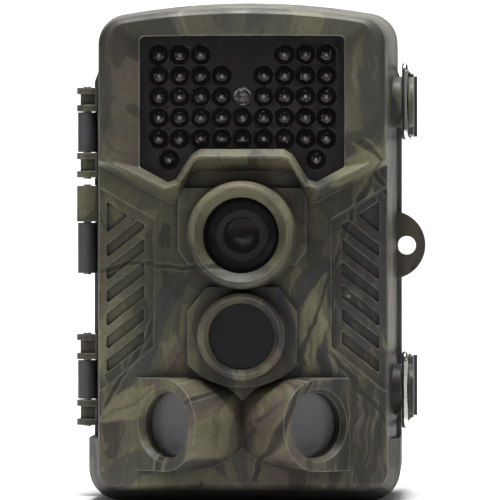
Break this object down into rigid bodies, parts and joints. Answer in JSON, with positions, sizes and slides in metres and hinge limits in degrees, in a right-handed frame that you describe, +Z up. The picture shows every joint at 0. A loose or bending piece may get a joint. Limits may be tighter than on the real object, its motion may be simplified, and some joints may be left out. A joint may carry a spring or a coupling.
{
  "type": "trail camera",
  "caption": "Weatherproof trail camera in a hinged clamshell with infrared lamp window, lens, motion sensors, side latches, tree rails and a tripod thread.",
  "frame": {"origin": "centre of the tripod thread's mouth in the flat underside", "axes": "+Z up, -Y the way the camera looks, +X towards the latch side (the viewer's right, seen from the front)"},
  "size_m": [0.0954, 0.0762, 0.135],
  "materials": {
    "camo_plastic": "satin, printed leaf and bark camouflage",
    "charcoal_plastic": "fine moulded grain",
    "lever_plastic": "satin black",
    "seal_rubber": "matt",
    "steel": "nickel plated",
    "bright_wire": "bright spring wire",
    "brass": "turned",
    "black_plastic": "moulded",
    "cell_jacket": null,
    "smoked_window": "smoked, glossy",
    "lamp_resin": "dark resin",
    "clear_resin": "clear dome",
    "circuit_board": "solder resist",
    "clear_glass": "polished",
    "coated_glass": "coated",
    "silicon": "polished",
    "eye_smoke": "dark translucent",
    "eye_fresnel": "grey translucent, fine rings",
    "screen_panel": "dark display",
    "chip_plastic": "moulded",
    "key_rubber": "silicone"
  },
  "bodies": {
    "rear": {"rear_shell": "charcoal_plastic", "strap_rails": "charcoal_plastic", "seal": "seal_rubber", "hinge_pins": "steel", "tripod_nut": "brass", "battery_tray": "black_plastic", "dry_cells": "cell_jacket", "cell_springs": "steel", "contact_plates": "steel", "tray_screws": "steel", "lever_pins": "steel"},
    "front": {"front_shell": "camo_plastic", "lamp_window": "smoked_window", "lamp_holder": "black_plastic", "infrared_lamps": "lamp_resin", "light_sensor": "clear_resin", "lamp_board": "circuit_board", "lens_cover": "clear_glass", "lens_barrel": "black_plastic", "front_lens": "coated_glass", "rear_lens": "coated_glass", "lens_mount": "black_plastic", "image_sensor": "silicon", "sensor_board": "circuit_board", "eye_window": "eye_smoke", "left_eye_lens": "eye_fresnel", "right_eye_lens": "eye_fresnel", "motion_sensors": "steel", "sensor_carriers": "circuit_board", "microphone": "steel", "inner_cover": "black_plastic", "cover_screws": "steel", "screen_glass": "clear_glass", "screen": "screen_panel", "main_board": "circuit_board", "board_chips": "chip_plastic", "key_switches": "chip_plastic", "switch_body": "chip_plastic", "card_slot": "steel", "usb_socket": "steel", "video_socket": "chip_plastic"},
    "filter": {"filter_slide": "black_plastic", "filter_glass": "coated_glass"},
    "key_up": {"key_up": "key_rubber"},
    "key_down": {"key_down": "key_rubber"},
    "key_left": {"key_left": "key_rubber"},
    "key_right": {"key_right": "key_rubber"},
    "key_ok": {"key_ok": "key_rubber"},
    "key_menu": {"key_menu": "key_rubber"},
    "mode_switch": {"mode_switch": "key_rubber"},
    "memory_card": {"memory_card": "chip_plastic"},
    "upper_lever": {"upper_lever": "lever_plastic"},
    "lower_lever": {"lower_lever": "lever_plastic"},
    "upper_bail": {"upper_bail": "bright_wire"},
    "lower_bail": {"lower_bail": "bright_wire"}
  },
  "joints": [
    {"name": "door_hinge", "type": "hinge", "parent": "rear", "child": "front", "pos_m": [-0.044, -0.01, 0.065], "axis": [0, 0, -1], "range_deg": [0, 170]},
    {"name": "upper_lever_turn", "type": "hinge", "parent": "rear", "child": "upper_lever", "pos_m": [0.0438, -0.001, 0.1076], "axis": [0, 0, -1], "range_deg": [0, 150]},
    {"name": "upper_bail_turn", "type": "hinge", "parent": "upper_lever", "child": "upper_bail", "pos_m": [0.0438, 0.009, 0.1076], "axis": [0, 0, 1], "range_deg": [0, 176], "deforming": ["upper_bail"]},
    {"name": "lower_lever_turn", "type": "hinge", "parent": "rear", "child": "lower_lever", "pos_m": [0.0438, -0.001, 0.0298], "axis": [0, 0, -1], "range_deg": [0, 150]},
    {"name": "lower_bail_turn", "type": "hinge", "parent": "lower_lever", "child": "lower_bail", "pos_m": [0.0438, 0.009, 0.0298], "axis": [0, 0, 1], "range_deg": [0, 176], "deforming": ["lower_bail"]},
    {"name": "key_up_press", "type": "slide", "parent": "front", "child": "key_up", "axis": [0, -1, 0], "range_m": [0, 0.0005], "stiffness_N_per_m": 300},
    {"name": "key_down_press", "type": "slide", "parent": "front", "child": "key_down", "axis": [0, -1, 0], "range_m": [0, 0.0005], "stiffness_N_per_m": 300},
    {"name": "key_left_press", "type": "slide", "parent": "front", "child": "key_left", "axis": [0, -1, 0], "range_m": [0, 0.0005], "stiffness_N_per_m": 300},
    {"name": "key_right_press", "type": "slide", "parent": "front", "child": "key_right", "axis": [0, -1, 0], "range_m": [0, 0.0005], "stiffness_N_per_m": 300},
    {"name": "key_ok_press", "type": "slide", "parent": "front", "child": "key_ok", "axis": [0, -1, 0], "range_m": [0, 0.0005], "stiffness_N_per_m": 300},
    {"name": "key_menu_press", "type": "slide", "parent": "front", "child": "key_menu", "axis": [0, -1, 0], "range_m": [0, 0.0005], "stiffness_N_per_m": 300},
    {"name": "mode_switch_slide", "type": "slide", "parent": "front", "child": "mode_switch", "axis": [0, 0, 1], "range_m": [0, 0.006]},
    {"name": "memory_card_slide", "type": "slide", "parent": "front", "child": "memory_card", "axis": [0, 0, -1], "range_m": [0, 0.014]},
    {"name": "filter_shift", "type": "slide", "parent": "front", "child": "filter", "axis": [1, 0, 0], "range_m": [0, 0.0066]}
  ],
  "couplings": [
    {"joint": "upper_bail_turn", "follows": "upper_lever_turn", "ratio": 1.1667},
    {"joint": "lower_bail_turn", "follows": "lower_lever_turn", "ratio": 1.1667}
  ]
}
